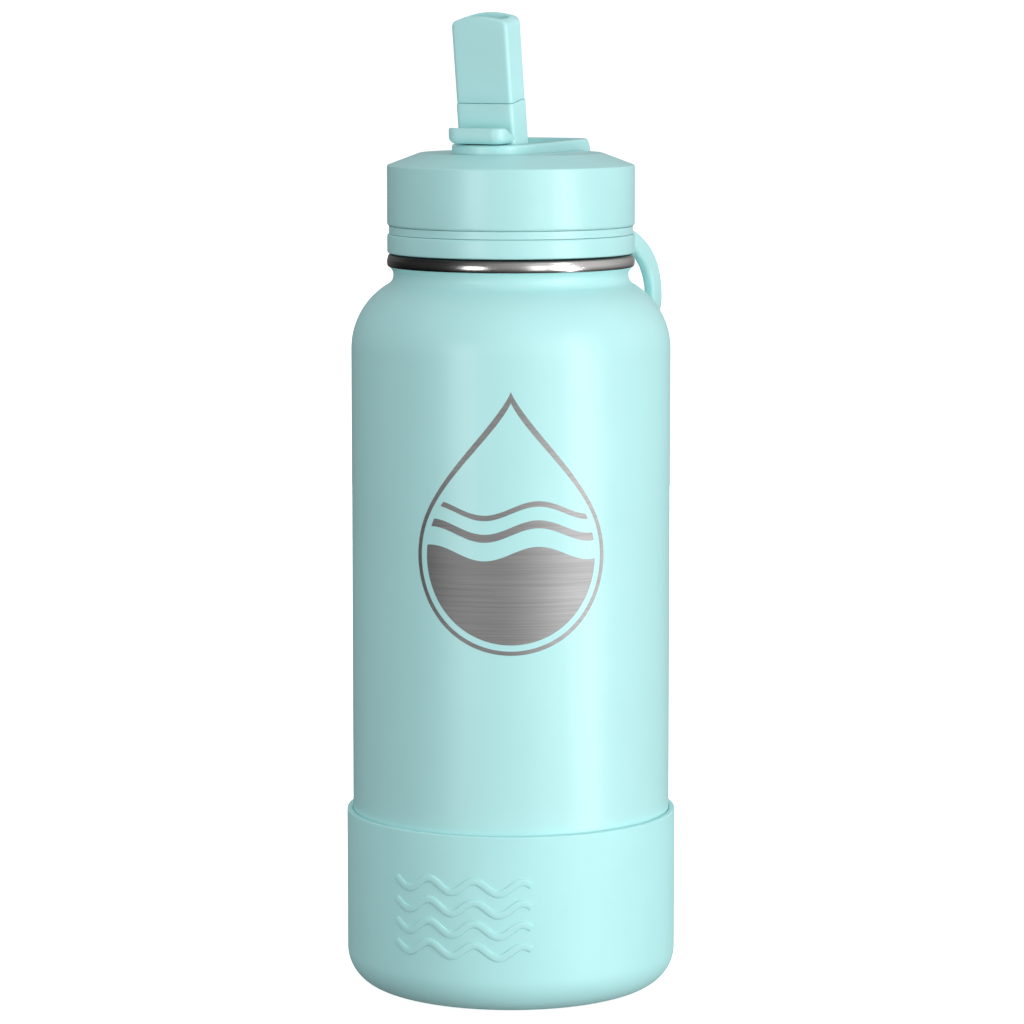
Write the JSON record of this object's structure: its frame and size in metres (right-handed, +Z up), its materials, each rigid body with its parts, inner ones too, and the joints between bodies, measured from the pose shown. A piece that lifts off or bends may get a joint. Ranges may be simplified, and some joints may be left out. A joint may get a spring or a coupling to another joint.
{
  "type": "insulated water bottle",
  "caption": "Double-walled steel water bottle with a silicone boot, a screw lid with a fold-down straw spout, and a swinging carry loop.",
  "frame": {"origin": "centre of the flat underside of the boot, on the bottle's axis", "axes": "+Z up along the bottle's axis; the decorated front faces -Y; +X is to the right seen from the front"},
  "size_m": [0.0934, 0.0985, 0.276],
  "materials": {
    "coated_steel": "fine matt powder coat",
    "bare_steel": "polished stainless steel",
    "lid_plastic": "satin moulded plastic",
    "silicone": "smooth matt silicone",
    "mouth_silicone": "soft matt silicone",
    "clear_plastic": "translucent moulded plastic",
    "foam": "rigid foam"
  },
  "bodies": {
    "bottle": {"outer_shell": "coated_steel", "shell_base": "bare_steel", "inner_vessel": "bare_steel", "mouth_ring": "bare_steel", "getter": "bare_steel", "vacuum_plug": "bare_steel"},
    "boot": {"boot": "silicone"},
    "gasket": {"lid_gasket": "mouth_silicone"},
    "lid": {"lid_cap": "lid_plastic", "lid_foam": "foam", "lid_plug": "lid_plastic", "carry_ring": "lid_plastic", "loop_pins": "bare_steel", "spout_cradle": "lid_plastic", "spout_seal": "mouth_silicone", "straw_stem": "clear_plastic", "straw": "clear_plastic", "vent_valve": "mouth_silicone"},
    "spout": {"spout_base": "lid_plastic", "mouthpiece": "mouth_silicone", "hinge_pins": "bare_steel"},
    "loop": {"carry_loop": "lid_plastic"}
  },
  "joints": [
    {"name": "lid_rise", "type": "slide", "parent": "bottle", "child": "gasket", "axis": [0, 0, 1], "range_m": [0, 0.0081]},
    {"name": "lid_turn", "type": "hinge", "parent": "gasket", "child": "lid", "pos_m": [0, 0, 0.2088], "axis": [0, 0, 1], "range_deg": [0, 720]},
    {"name": "spout_flip", "type": "hinge", "parent": "lid", "child": "spout", "pos_m": [-0.00461, -0.00988, 0.2374], "axis": [-0.9063, 0.4226, 0], "range_deg": [0, 98.8]},
    {"name": "loop_swing", "type": "hinge", "parent": "lid", "child": "loop", "pos_m": [0.01023, 0.02193, 0.21147], "axis": [0.9063, -0.4226, 0], "range_deg": [0, 65]},
    {"name": "boot_slide", "type": "slide", "parent": "bottle", "child": "boot", "axis": [0, 0, 1], "range_m": [-0.055, 0]}
  ],
  "couplings": [
    {"joint": "lid_rise", "follows": "lid_turn", "m_per_rad": 0.00063662}
  ]
}
